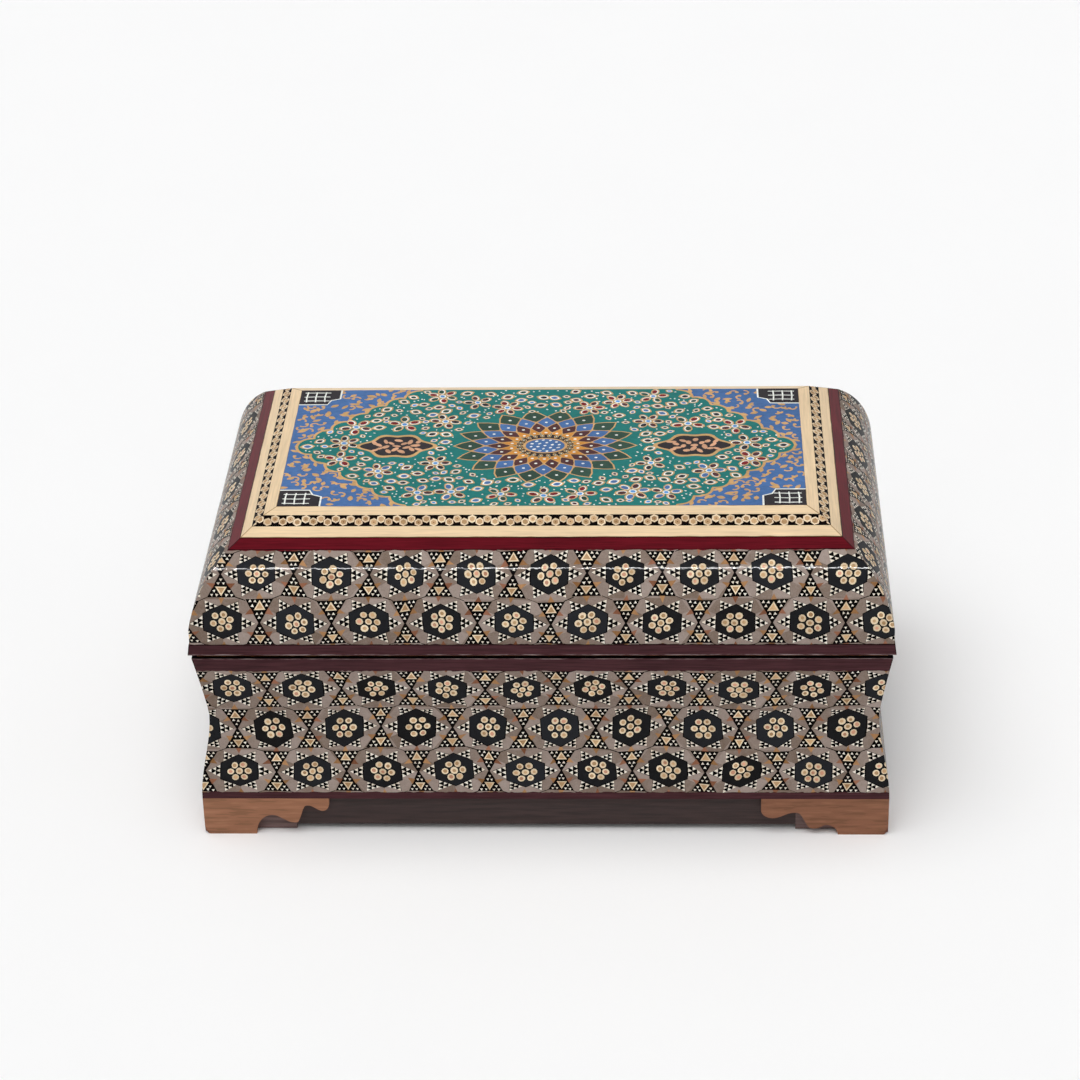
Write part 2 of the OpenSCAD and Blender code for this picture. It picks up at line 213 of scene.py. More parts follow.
def inlay_look(name, rgb, streak=0.25, roughness=0.42):
    """One of the inlay's woods and bones, under the lacquer. Each rod varies a little and shows its end grain."""
    look = Look(name, roughness=roughness, specular=0.0, coat=0.5, coat_roughness=0.03)
    base = linear(rgb)
    vary = look.attribute("vary")
    fine = look.noise(2600, 2.0)
    cloudy = look.noise(420, 3.0)
    shade = look.math("ADD", look.math("MULTIPLY", look.math("SUBTRACT", fine, 0.5), streak * 1.3),
                      look.math("MULTIPLY", look.math("SUBTRACT", cloudy, 0.5), streak))
    shade = look.math("ADD", shade, look.math("MULTIPLY", look.math("SUBTRACT", vary, 0.5), streak * 1.6))
    warm = tuple(c * w for c, w in zip(base, (0.62, 0.55, 0.48)))
    light = tuple(min(1.0, c * w) for c, w in zip(base, (1.34, 1.36, 1.40)))
    look.colour(look.mix(look.span(shade, -0.42, 0.42), warm, light))
    look.bump(look.noise(330, 2.0), 0.09, 0.0004, coat=True)
    return look.material


def strip_look(name, rgb, dark, lines=(), mitre_line=None, grain=0.3, coat=1.0, roughness=0.4, specular=0.0,
               lip_glint_heights=()):
    """A wood or bone strip whose grain runs along the side it lies on, with fine dark glue lines at its edges and
    mitres.

    The last argument lists heights where a thin pale line, broken by noise, is painted along the rounded edge as a
    painted highlight; when it is given, faces that look straight up or down are painted near-black as painted shade in
    the seam."""
    look = Look(name, roughness=roughness, specular=specular, coat=coat, coat_roughness=0.04)
    along, inset, mitre, z = look.frame_place()
    base = linear(rgb)
    fibres = look.noise(1.0, 4.0, 0.6, vector=look.combine(look.math("MULTIPLY", along, 90.0),
                                                          look.math("MULTIPLY", inset, 1900.0),
                                                          look.math("MULTIPLY", z, 1900.0)))
    patches = look.noise(60, 3.0)
    shade = look.math("ADD", look.math("MULTIPLY", fibres, 0.72), look.math("MULTIPLY", patches, 0.28))
    low = tuple(c * (1 - grain) for c in base)
    high = tuple(min(1.0, c * (1 + grain * 0.6)) for c in base)
    colour = look.mix(look.span(shade, 0.33, 0.67), low, high)
    wander = look.math("MULTIPLY", look.math("SUBTRACT", look.noise(150, 2.0), 0.5), 0.00042)
    for at, width in lines:
        gap = look.math("ABSOLUTE", look.math("SUBTRACT", look.math("ADD", inset, wander), at * MM))
        colour = look.mix(look.span(gap, width * MM, width * 1.8 * MM, 0.92, 0.0), colour, linear(dark))
    if mitre_line:
        gap = look.math("ABSOLUTE", mitre)
        colour = look.mix(look.span(gap, 0.00012, 0.00026, 0.85, 0.0), colour, linear(mitre_line))
    if lip_glint_heights:
        # painted highlight: thin pale broken lines along the rounded lip edges at the listed heights
        broken_glint = look.span(look.noise(1.0, 4.0, 0.7, vector=look.combine(look.math("MULTIPLY", along, 160.0), 0.0,
                                                                        look.math("MULTIPLY", z, 2500.0))), 0.46, 0.62)
        for height in lip_glint_heights:
            gap = look.math("ABSOLUTE", look.math("SUBTRACT", z, height * MM))
            colour = look.mix(look.math("MULTIPLY", look.span(gap, 0.0001, 0.00022, 0.7, 0.0), broken_glint), colour,
                              linear((176, 158, 156)))
        # painted shade: faces looking straight up or down, such as the band tops inside the seam, are darkened to
        # near-black
        facing = look.split(look.node("ShaderNodeNewGeometry").outputs["Normal"])[2]
        seam_shade = look.span(look.math("ABSOLUTE", facing), 0.9, 0.97)
        colour = look.mix(seam_shade, colour, linear((14, 10, 10)))
    look.colour(colour)
    look.bump(look.math("ADD", look.math("MULTIPLY", fibres, 0.3), look.noise(260, 2.0)), 0.1, 0.0003, coat=True)
    return look.material


def foot_look():
    """Oiled red-brown wood with dark streaks along its grain and paler sharp edges, with painted shade: darker on the
    side plates and towards the right.
    """
    look = Look("foot_wood", roughness=0.5, specular=0.08)
    along, inset, mitre, z = look.frame_place()
    streaks = look.noise(1.0, 2.0, 0.5, vector=look.combine(look.math("MULTIPLY", along, 120.0),
                                                           look.math("MULTIPLY", inset, 1150.0),
                                                           look.math("MULTIPLY", z, 1150.0)))
    bands = look.noise(1.0, 3.0, 0.5, vector=look.combine(look.math("MULTIPLY", along, 38.0),
                                                         look.math("MULTIPLY", inset, 330.0),
                                                         look.math("MULTIPLY", z, 420.0)))
    colour = look.mix(look.span(bands, 0.3, 0.7), linear((95, 56, 46)), linear((134, 84, 69)))
    colour = look.mix(look.span(streaks, 0.56, 0.63, 0.0, 0.85), colour, linear((62, 36, 30)))
    colour = look.mix(look.span(streaks, 0.34, 0.46, 0.4, 0.0), colour, linear((172, 120, 94)))
    # paler where the surface is sharply convex, along its edges
    pointy = look.node("ShaderNodeNewGeometry").outputs["Pointiness"]
    colour = look.mix(look.span(pointy, 0.52, 0.6, 0.0, 0.4), colour, linear((190, 140, 104)))
    # painted shade: the feet's side plates, facing left or right, are darkened
    side_shade = look.math("LESS_THAN", mitre, 0.0)
    colour = look.mix(look.math("MULTIPLY", side_shade, 0.35), colour, linear((58, 26, 22)))
    # painted shade: the feet on the right (+x) are darkened, as if lit from the left
    x = look.split(look.place)[0]
    colour = look.mix(look.span(x, -0.02, 0.02, 0.0, 0.3), colour, linear((84, 46, 36)))
    look.colour(colour)
    look.rough(look.span(streaks, 0.3, 0.7, 0.4, 0.6))
    look.bump(streaks, 0.25, 0.00025)
    return look.material


def plain_wood_look(name, pale, dark, roughness=0.5):
    look = Look(name, roughness=roughness, specular=0.3)
    along, inset, mitre, z = look.frame_place()
    grain = look.noise(1.0, 5.0, 0.6, vector=look.combine(look.math("MULTIPLY", along, 70.0),
                                                         look.math("MULTIPLY", inset, 1100.0),
                                                         look.math("MULTIPLY", z, 1100.0)))
    look.colour(look.mix(look.span(grain, 0.35, 0.68), linear(dark), linear(pale)))
    look.rough(look.span(grain, 0.3, 0.7, roughness - 0.08, roughness + 0.1))
    look.bump(grain, 0.2, 0.0003)
    return look.material


def velvet_look():
    """Deep red velvet glued on card."""
    look = Look("velvet", roughness=0.95, specular=0.1)
    look.shader.inputs["Sheen Weight"].default_value = 0.7
    look.shader.inputs["Sheen Roughness"].default_value = 0.35
    look.shader.inputs["Sheen Tint"].default_value = (0.9, 0.25, 0.3, 1)
    pile = look.noise(5200, 2.0)
    brushed = look.noise(70, 4.0, 0.6)
    colour = look.mix(look.span(brushed, 0.35, 0.65), linear((88, 8, 22)), linear((130, 20, 36)))
    look.colour(look.mix(look.span(pile, 0.35, 0.7, 0.0, 0.55), colour, linear((52, 3, 12))))
    look.bump(pile, 0.5, 0.0003)
    return look.material


def brass_look():
    """Stamped brass, lightly tarnished, with fine scratches."""
    look = Look("brass", roughness=0.32, metallic=1.0, specular=0.5)
    tarnish = look.noise(180, 4.0, 0.65)
    scratch = look.noise(1.0, 3.0, 0.6, stretch=(900, 5200, 5200))
    colour = look.mix(look.span(tarnish, 0.38, 0.72), linear((214, 172, 96)), linear((128, 92, 46)))
    look.colour(colour)
    look.rough(look.span(tarnish, 0.3, 0.75, 0.24, 0.52))
    look.bump(scratch, 0.12, 0.0001)
    return look.material


def paint_look():
    """Gouache under gloss lacquer: colours come from the painted shapes."""
    look = Look("painted_panel", roughness=0.45, specular=0.0, coat=1.0, coat_roughness=0.05)
    paint = look.attribute("paint", "Color")
    brush = look.noise(1.0, 4.0, 0.6, stretch=(520, 900, 900))
    patches = look.noise(75, 3.0)
    shade = look.math("ADD", look.math("MULTIPLY", brush, 0.6), look.math("MULTIPLY", patches, 0.4))
    grey = look.span(shade, 0.3, 0.7, 0.74, 1.2)
    look.colour(look.mix(1.0, paint, look.combine(grey, grey, grey), blend="MULTIPLY"))
    look.bump(brush, 0.12, 0.0002, coat=True)
    return look.material


def floor_look():
    """Pale floor whose faint mottling keeps it from being one flat colour."""
    look = Look("floor", roughness=0.9, specular=0.0)
    mottle = look.noise(14, 3.0)
    look.colour(look.mix(look.span(mottle, 0.3, 0.7), FLOOR_LOW, FLOOR_HIGH))
    return look.material


INLAY = {
    "ebony": ("inlay_ebony", (10, 7, 7), 0.5),
    "dyed": ("inlay_dark_wood", (34, 35, 38), 0.5),
    "white": ("inlay_white_bone", (250, 238, 214), 0.16),
    "cream": ("inlay_cream_bone", (228, 208, 178), 0.25),
    "tan": ("inlay_tan_wood", (188, 154, 114), 0.4),
    "rose": ("inlay_rose_wood", (202, 150, 122), 0.4),
    "band": ("inlay_grey_bone", (144, 130, 121), 0.42),
    "orange": ("inlay_orange_wood", (160, 120, 82), 0.45),
    "rust": ("inlay_red_wood", (142, 96, 74), 0.45),
    "brown": ("inlay_brown_wood", (112, 70, 44), 0.4),
    "lip": ("inlay_run_brown_lacquer", (60, 34, 36), 0.3),
    "red": ("inlay_run_red_lacquer", (88, 18, 28), 0.3),
    "back": ("inlay_backing", (120, 84, 54), 0.3),
}
KINDS = list(INLAY)
INLAY_LOOKS = {}

# ---------------------------------------------------------------- surfaces


class Face:
    """The outside of one side of a CAD node, rolled out flat: s runs along the side to the right, t up its profile."""

    def __init__(self, node, side):
        turn = math.radians(90 * SIDES.index(side))
        self.out = Vector((math.cos(turn), math.sin(turn), 0))
        self.along = Vector((-math.sin(turn), math.cos(turn), 0))
        self.half_out, self.half_along = (HALF_W, HALF_D) if side in ("right", "left") else (HALF_D, HALF_W)
        found = set()
        mesh = NODES[node].data
        for polygon in mesh.polygons:
            normal = polygon.normal
            this_side = (polygon.center / MM - MIDDLE).dot(self.out) > 0
            if this_side and normal.dot(self.out) > 0.05 and normal.z > -0.3 and abs(normal.dot(self.along)) < 0.2:
                for index in polygon.vertices:
                    place = mesh.vertices[index].co / MM - MIDDLE
                    found.add((round(place.z + MIDDLE.z, 2), round(place.dot(self.out), 2)))
        self.points = []
        for z, out in sorted(found):
            if not self.points or z - self.points[-1][1] > 0.05:
                self.points.append((out, z))
        self.t = [0.0]
        for a, b in zip(self.points, self.points[1:]):
            self.t.append(self.t[-1] + math.dist(a, b))
        self.length = self.t[-1]
        slopes = [Vector((b[1] - a[1], a[0] - b[0])).normalized() for a, b in zip(self.points, self.points[1:])]
        joined = zip([slopes[0]] + slopes, slopes + [slopes[-1]])
        self.normals = [(a + b).normalized() for a, b in joined]

    def locate(self, t):
        t = min(max(t, 0.0), self.length)
        index = max(i for i in range(len(self.t) - 1) if self.t[i] <= t + 1e-9)
        share = (t - self.t[index]) / (self.t[index + 1] - self.t[index])
        mix = lambda a, b: a + (b - a) * share
        out = mix(self.points[index][0], self.points[index + 1][0])
        z = mix(self.points[index][1], self.points[index + 1][1])
        normal = self.normals[index].lerp(self.normals[index + 1], share).normalized()
        return out, z, normal

    def end(self, t):
        """Half the length of the side at t, where its mitre cuts it."""
        return self.half_along - (self.half_out - self.locate(t)[0]) - 0.01

    def at(self, s, t, depth=0.0):
        """(place in metres, normal) of a point, depth under the surface."""
        out, z, normal = self.locate(t)
        facing = self.out * normal.x + Vector((0, 0, normal.y))
        place = self.out * out + self.along * s + Vector((MIDDLE.x, MIDDLE.y, z)) - facing * depth
        return place * MM, facing


def anticlockwise(loop):
    area = sum(a[0] * b[1] - b[0] * a[1] for a, b in zip(loop, loop[1:] + loop[:1]))
    return loop if area > 0 else loop[::-1]


def rolled_domain(face):
    """Outline of the rolled-out side, counterclockwise from its lower left corner."""
    left = [(-face.end(t), t) for t in face.t]
    right = [(face.end(t), t) for t in face.t]
    return right and [left[0]] + right + left[:0:-1]


def top_loops(owners):
    """The uppermost loop round each cell, None outside the first. A loop that holds most cells is inside out."""
    held = Counter(loop for owned in owners for loop in owned)
    flipped = {loop for loop, count in held.items() if loop and count > len(owners) / 2}
    return [max(flipped.symmetric_difference(owned)) if 0 in owned else None for owned in owners]


def folds(width, height):
    """Into how many rows a strip is folded on its map, so that it fills a square best."""
    return min(range(1, 7), key=lambda n: max(width / n, n * (height + 1.0)))


def inlaid_piece(name, faces, loops_of, body, replaced, depth=1.2, ground="ebony"):
    """A mesh of one or more rolled-out sides, cut into the rods that loops_of(face) draws on each.

    A loop is (kind, vary, points); later loops lie over earlier ones. Every cell takes its rod's material.
    """
    verts, normals, polygons, kinds, varies, uvs = [], [], [], [], [], []
    rows_used = 0.0
    widest = max(2 * face.end(0) for face in faces)
    tallest = max(face.length for face in faces)
    count = folds(widest, tallest * len(faces))
    column = widest / count
    for face in faces:
        outline = rolled_domain(face)
        loops = loops_of(face)
        points, edges, cells = [], [], []

        def add_loop(loop):
            start = len(points)
            points.extend(Vector(p) for p in anticlockwise(loop))
            cells.append(list(range(start, len(points))))

        add_loop(outline)
        for _, _, loop in loops:
            add_loop(loop)
        reach = face.half_along + 5
        for t in face.t[1:-1]:
            edges.append((len(points), len(points) + 1))
            points.extend((Vector((-reach, t)), Vector((reach, t))))
        for k in range(1, count):
            s = -widest / 2 + k * column
            edges.append((len(points), len(points) + 1))
            points.extend((Vector((s, -2)), Vector((s, face.length + 2))))
        flat, _, found, _, _, owners = delaunay_2d_cdt(points, edges, cells, 0, 1e-4, True)
        first = len(verts)
        used = {}
        rims = {}
        for corners, top in zip(found, top_loops(owners)):
            if top is None:
                continue
            kind, vary = (ground, 0.5) if top == 0 else loops[top - 1][:2]
            ids = []
            for corner in corners:
                if corner not in used:
                    used[corner] = len(verts)
                    place, facing = face.at(*flat[corner])
                    verts.append(place)
                    normals.append(facing)
                ids.append(used[corner])
            a, b, c = (flat[corner] for corner in corners)
            if (b - a).cross(c - a) < 0:
                ids.reverse()
                corners = list(reversed(corners))
            middle_s = sum(flat[corner].x for corner in corners) / 3
            fold = min(count - 1, max(0, int((middle_s + widest / 2) / column)))
            polygons.append(ids)
            kinds.append(KINDS.index(kind))
            varies.append(vary)
            uvs.append([(flat[corner].x + widest / 2 - fold * column,
                         rows_used + fold * (face.length + 1.0) + flat[corner].y) for corner in corners])
            for i, j in zip(corners, corners[1:] + corners[:1]):
                if (j, i) in rims:
                    del rims[(j, i)]
                else:
                    rims[(i, j)] = True
        # the sides and the back of the veneer
        onward = dict(rims)
        onward = {i: j for i, j in rims}
        inner = {}
        for i in onward:
            inner[i] = len(verts)
            place, facing = face.at(flat[i].x, flat[i].y, depth)
            shrink = Vector((0, 0, 0))
            out = face.locate(flat[i].y)[0]
            if abs(abs(flat[i].x) - face.end(flat[i].y)) < 0.02:
                drop = face.at(flat[i].x, flat[i].y)[0] - place
                shrink = -face.along * math.copysign(drop.dot(face.out), flat[i].x)
            verts.append(place + shrink)
            normals.append(-facing)
        spare_v = -3.0
        for i, j in onward.items():
            polygons.append([used[j], used[i], inner[i], inner[j]])
            kinds.append(KINDS.index("back"))
            varies.append(0.5)
            uvs.append([(0.5, spare_v), (0.6, spare_v), (0.6, spare_v + 0.1), (0.5, spare_v + 0.1)])
        for low, high in zip(face.t, face.t[1:]):
            inside = [i for i in inner if low - 1e-3 <= flat[i].y <= high + 1e-3]
            on_low = [i for i in inside if low == 0 and flat[i].y < 1e-3 and abs(flat[i].x) < face.end(0) - 1e-3]
            on_high = [i for i in inside if high == face.length and flat[i].y > high - 1e-3
                       and abs(flat[i].x) < face.end(high) - 1e-3]
            ends = [i for i in inside if i not in on_low and i not in on_high]
            ring = (sorted([i for i in ends if flat[i].x < 0], key=lambda i: flat[i].y)
                    + sorted(on_high, key=lambda i: flat[i].x)
                    + sorted([i for i in ends if flat[i].x > 0], key=lambda i: -flat[i].y)
                    + sorted(on_low, key=lambda i: -flat[i].x))
            polygons.append([inner[i] for i in ring])
            kinds.append(KINDS.index("back"))
            varies.append(0.5)
            uvs.append([(0.5 + 0.01 * k, spare_v) for k in range(len(ring))])
        rows_used += count * (face.length + 1.0)
    size = max(column, rows_used + 4.0)
    mesh = bpy.data.meshes.new(name)
    mesh.from_pydata([tuple(v) for v in verts], [], polygons)
    layer = mesh.uv_layers.new(name="OFBake")
    flat_uvs = [value for polygon in uvs for u, v in polygon for value in (u / size, (v + 3.5) / size)]
    layer.data.foreach_set("uv", flat_uvs)
    mesh.attributes.new("vary", "FLOAT", "FACE").data.foreach_set("value", varies)
    for kind in KINDS:
        mesh.materials.append(INLAY_LOOKS[kind])
    mesh.polygons.foreach_set("material_index", kinds)
    mesh.polygons.foreach_set("use_smooth", [kind != KINDS.index("back") for kind in kinds])
    mesh.update()
    corner_normals = []
    for polygon in mesh.polygons:
        for index in polygon.vertices:
            corner_normals.append(normals[index] if polygon.use_smooth else polygon.normal)
    mesh.normals_split_custom_set([tuple(n) for n in corner_normals])
    piece = bpy.data.objects.new(name, mesh)
    bpy.context.scene.collection.objects.link(piece)
    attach(piece, body)
    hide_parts(*replaced)
    return piece


# ---------------------------------------------------------------- khatam pattern

PITCH = 19.6           # from star to star along a row
HEX_R = 6.05           # of the dark hexagon
POINT = 3.85           # base of the triangle of rods on each of its sides
DOT_RING = 2.36


def polygon_at(x, y, radius, corners, turn=0.0, squash=1.0):
    return [(x + radius * math.cos(turn + math.tau * k / corners),
             y + radius * squash * math.sin(turn + math.tau * k / corners)) for k in range(corners)]


def chance(*values):
    """The same number between 0 and 1 for the same places."""
    value = math.sin(sum(round(v, 1) * w for v, w in zip(values, (12.9898, 78.233, 37.719, 4.581)))) * 43758.5453
    return value - math.floor(value)


def strips(corners, middle):
    """Bone strips from each side of a cell to its middle, two to a side, toned alike in the cells on both its sides."""
    made = []
    for a, b in zip(corners, corners[1:] + corners[:1]):
        half = (a + b) / 2
        for end in (a, b):
            made.append(("band", chance(half.x, half.y, end.x, end.y), [end, half, middle]))
    return made


def line_between(a, b, width):
    across = (b - a).normalized().orthogonal() * width / 2
    return [a + across, b + across, b - across, a - across]


def tile_loops(apex, half_w, height, rng):
    """The black triangle between stars, point at the apex: rods in its corners, a bone triangle in the middle."""
    lean = rng.gauss(0, 0.025)
    up = Vector((lean, math.copysign(1, height)))
    height = abs(height)
    tip = apex + up * 0.1
    corners = [tip] + [apex + up * (height - 0.45) + Vector((side * (half_w - 1.15) + rng.gauss(0, 0.12),
                                                             rng.gauss(0, 0.1))) for side in (-1, 1)]
    middle = sum(corners, Vector((0, 0))) / 3
    blunt = Vector((0.3, 0))
    under, over = [("ebony", rng.random(), [tip - blunt, *corners[1:], tip + blunt])], []
    for k in range(3):
        here, left, right = corners[k], corners[k - 1], corners[(k + 1) % 3]
        for w, side in ((0.21, 0.0), (0.39, -0.083), (0.39, 0.083)):
            at = here * (1 - w) + left * (w / 2 + side) + right * (w / 2 - side)
            at += Vector((rng.gauss(0, 0.05), rng.gauss(0, 0.05)))
            size = rng.uniform(0.1, 0.122)
            twist = Matrix.Rotation(rng.gauss(0, 0.12), 2)
            over.append(("white", rng.random(), [at - twist @ (corner - middle) * size for corner in corners]))
        edge = (left + right) / 2
        out = (edge - middle).normalized()
        along = (right - left).normalized()
        deep = rng.uniform(1.4, 1.8) if k == 0 else rng.uniform(1.7, 2.3)
        wide = rng.uniform(0.65, 0.95)
        under.append((rng.choice(("orange", "orange", "rust")), rng.random(),
                      [edge - along * wide, edge + along * wide, edge + out * deep + along * rng.gauss(0, 0.15)]))
    shift = Vector((rng.gauss(0, 0.06), rng.gauss(0, 0.06)))
    for kind, share in (("cream", 0.4), ("tan", 0.25)):
        over.append((kind, rng.random(), [middle + shift - (corner - middle) * share for corner in corners]))
    return under, over


def star_loops(cx, cy, half, squash, rng):
    """One star: bone strips under six triangles of rods on a dark hexagon with seven dots."""
    centre = Vector((cx, cy))
    reach = PITCH / 2
    cell = [centre + Vector(v) for v in ((reach, 0), (reach / 2, half), (-reach / 2, half), (-reach, 0),
                                         (-reach / 2, -half), (reach / 2, -half))]
    under, over = strips(cell, centre), []
    for k in (0, 1, 2):
        dark = Vector((0, 0.5)) if k == 0 else Vector((1.35, -0.5 if k == 1 else 0.5))
        over.append(("ebony", 0.4, line_between(cell[k] - dark, cell[k] + dark,
                                                0.5 if k == 0 else rng.uniform(0.1, 0.28))))
    centre = centre + Vector((rng.gauss(0, 0.16), rng.gauss(0, 0.16)))
    spin = rng.gauss(0, 0.025)
    outer = [Vector(p) for p in polygon_at(*centre, HEX_R, 6, math.pi / 6 + spin, squash)]
    for k in range(6):
        a, b = outer[k - 1], outer[k]
        mid = (a + b) / 2
        along = (b - a).normalized()
        away = (cell[k] - centre).normalized()
        gap = 0.9 if k % 3 == 0 else 0.55
        tip = cell[k] - away * (gap + rng.gauss(0, 0.1)) + along * rng.gauss(0, 0.1)
        mid += along * rng.gauss(0, 0.1)
        inward = (centre - mid).normalized() * 0.05
        corners = [tip, mid - along * POINT / 2 + inward, mid + along * POINT / 2 + inward]
        over.append(("ebony", rng.random(), corners))
        u, v = (corners[1] - tip) / 3, (corners[2] - tip) / 3
        for row in range(3):
            for i in range(row + 1):
                top = tip + u * (row - i) + v * i
                rod = (top, top + u, top + v)
                at = sum(rod, Vector((0, 0))) / 3
                size = rng.uniform(0.74, 0.86)
                slip = Vector((rng.gauss(0, 0.04), rng.gauss(0, 0.04)))
                over.append(("white", rng.random(), [at + slip + (corner - at) * size for corner in rod]))
    over.append(("ebony", 0.5, outer))
    over.append(("dyed", rng.random(), [centre + (corner - centre) * 0.955 for corner in outer]))
    spin = rng.gauss(0.12, 0.2)
    heart = centre + Vector((rng.gauss(0, 0.14), rng.gauss(0, 0.14)))
    for k in range(7):
        ring = 0 if k == 6 else DOT_RING + rng.gauss(0, 0.05)
        angle = math.pi / 3 * k + spin
        at = heart + Vector((ring * math.cos(angle), ring * math.sin(angle) * (0.5 + squash / 2)))
        size, turn = rng.uniform(0.9, 1.02), rng.random()
        over.append(("ebony", 0.3, polygon_at(*at, 1.2 * size, 9, turn)))
        over.append(("cream", rng.random(), polygon_at(*at, 1.02 * size, 9, turn, rng.uniform(0.9, 1.08))))
        over.append((rng.choice(("tan", "tan", "tan", "rose")), rng.random(),
                     polygon_at(at.x + rng.gauss(0, 0.06), at.y + rng.gauss(0, 0.06), rng.uniform(0.46, 0.6), 7, turn)))
    return under, over


def ragged_edge(face, at_top, kind, rng):
    """Lacquer of the strip next to the inlay, where it has run over the uneven edge."""
    reach = face.half_along + 1
    edge = face.length if at_top else 0.0
    sign = -1 if at_top else 1
    line, s = [], -reach
    while s < reach:
        line.append((s, edge + sign * max(0.03, rng.gauss(0.16, 0.12))))
        s += rng.uniform(0.5, 1.9)
    line.append((reach, edge + sign * 0.1))
    return (kind, rng.random(), line + [(reach, edge - sign), (-reach, edge - sign)])


def khatam_loops(face, squashes, offsets, seed, top_kind):
    """Stars in rows that fill the height, every other row half a pitch on, with a hand-laid unevenness."""
    rng = random.Random(seed)
    rows = len(squashes)
    half = face.length / rows / 2
    under, over = [], []
    for row in range(-1, rows + 1):
        inside = 0 <= row < rows
        offset = offsets[row] if inside else offsets[min(max(row, 0), rows - 1)] + PITCH / 2
        squash = squashes[row] if inside else 0.84
        y = face.length - (2 * row + 1) * half
        reach = int(face.half_along / PITCH) + 2
        for k in range(-reach, reach + 1):
            x = offset + k * PITCH
            below, above = star_loops(x, y, half, squash, rng)
            under, over = under + below, over + above
            for height in (half, -half):
                apex = Vector((x + PITCH / 2, y))
                cell = [apex, apex + Vector((PITCH / 4, height)), apex + Vector((-PITCH / 4, height))]
                under += strips(cell, sum(cell, Vector((0, 0))) / 3)
    for row in range(-1, rows + 1):
        inside = 0 <= row < rows
        offset = offsets[row] if inside else offsets[min(max(row, 0), rows - 1)] + PITCH / 2
        y = face.length - (2 * row + 1) * half
        for k in range(-reach, reach + 1):
            for height in (half, -half):
                below, above = tile_loops(Vector((offset + (k + 0.5) * PITCH, y)), PITCH / 4, height, rng)
                under, over = under + below, above + over
    shift = Vector((seed * 7.3, seed * 3.1, 0.0))

    def laid(x, y):
        slow = noise.noise_vector(Vector((x, y, 0)) / 13 + shift) * 0.8
        quick = noise.noise_vector(Vector((x, y, 9)) / 2.8 + shift) * 0.13
        return x + slow.x + quick.x, y + slow.y + quick.y

    made = []
    limit = face.half_along + 1
    for kind, vary, loop in under + over:
        warped = [laid(*p) for p in loop]
        if any(abs(s) < limit and -0.5 < t < face.length + 0.5 for s, t in warped):
            made.append((kind, vary, warped))
    made.append(ragged_edge(face, True, top_kind, rng))
    made.append(ragged_edge(face, False, "lip", rng))
    return made


def chain_loops(face, seed):
    """The narrow border: a zigzag of hexagonal rods, cream round gold, on black."""
    rng = random.Random(seed)
    loops = []
    middle = face.length / 2
    step = 2.04
    count = int(face.half_along / step) + 1
    for k in range(-count, count + 1):
        x = k * step + rng.gauss(0, 0.08)
        y = middle + (0.46 if k % 2 else -0.46) + rng.gauss(0, 0.07)
        turn = math.pi / 6 + rng.gauss(0, 0.12)
        loops.append(("brown", 0.2, polygon_at(x, y, 1.34, 6, turn)))
        loops.append(("cream", rng.random(), polygon_at(x, y, rng.uniform(1.18, 1.28), 6, turn)))
        loops.append(("tan", rng.random(), polygon_at(x, y, rng.uniform(0.74, 0.86), 6, turn)))
        if rng.random() < 0.5:
            loops.append(("brown", rng.random(), polygon_at(x, y, 0.2, 5, turn)))
    return loops


# ---------------------------------------------------------------- painted panel

PAINT = {
    "teal": (28, 118, 114), "blue": (72, 110, 164), "gold": (206, 164, 110), "white": (236, 238, 232),
    "maroon": (82, 48, 50), "night": (46, 42, 46), "green": (48, 76, 64), "orange": (214, 146, 64),
    "red": (124, 34, 38), "sky": (86, 146, 214), "rose": (214, 164, 130), "sand": (222, 186, 136),
}


def leaf_at(x, y, length, width, angle, steps=5):
    """A pointed leaf from its stalk at x, y."""
    points = []
    for side in (1, -1):
        for k in range(steps):
            share = k / steps if side == 1 else 1 - k / steps
            bulge = side * width / 2 * math.sin(math.pi * share) ** 0.8
            points.append((length * share, bulge))
    c, s = math.cos(angle), math.sin(angle)
    return [(x + u * c - v * s, y + u * s + v * c) for u, v in points]


def oval_at(x, y, a, b, angle=0.0, steps=10):
    c, s = math.cos(angle), math.sin(angle)
    ring = [(a * math.cos(math.tau * k / steps), b * math.sin(math.tau * k / steps)) for k in range(steps)]
    return [(x + u * c - v * s, y + u * s + v * c) for u, v in ring]


def stroke(points, width):
    """A band of that width along an open line."""
    left, right = [], []
    for k, (x, y) in enumerate(points):
        ax, ay = points[max(0, k - 1)]
        bx, by = points[min(len(points) - 1, k + 1)]
        length = math.hypot(bx - ax, by - ay) or 1.0
        nx, ny = -(by - ay) / length * width / 2, (bx - ax) / length * width / 2
        left.append((x + nx, y + ny))
        right.append((x - nx, y - ny))
    return left + right[::-1]


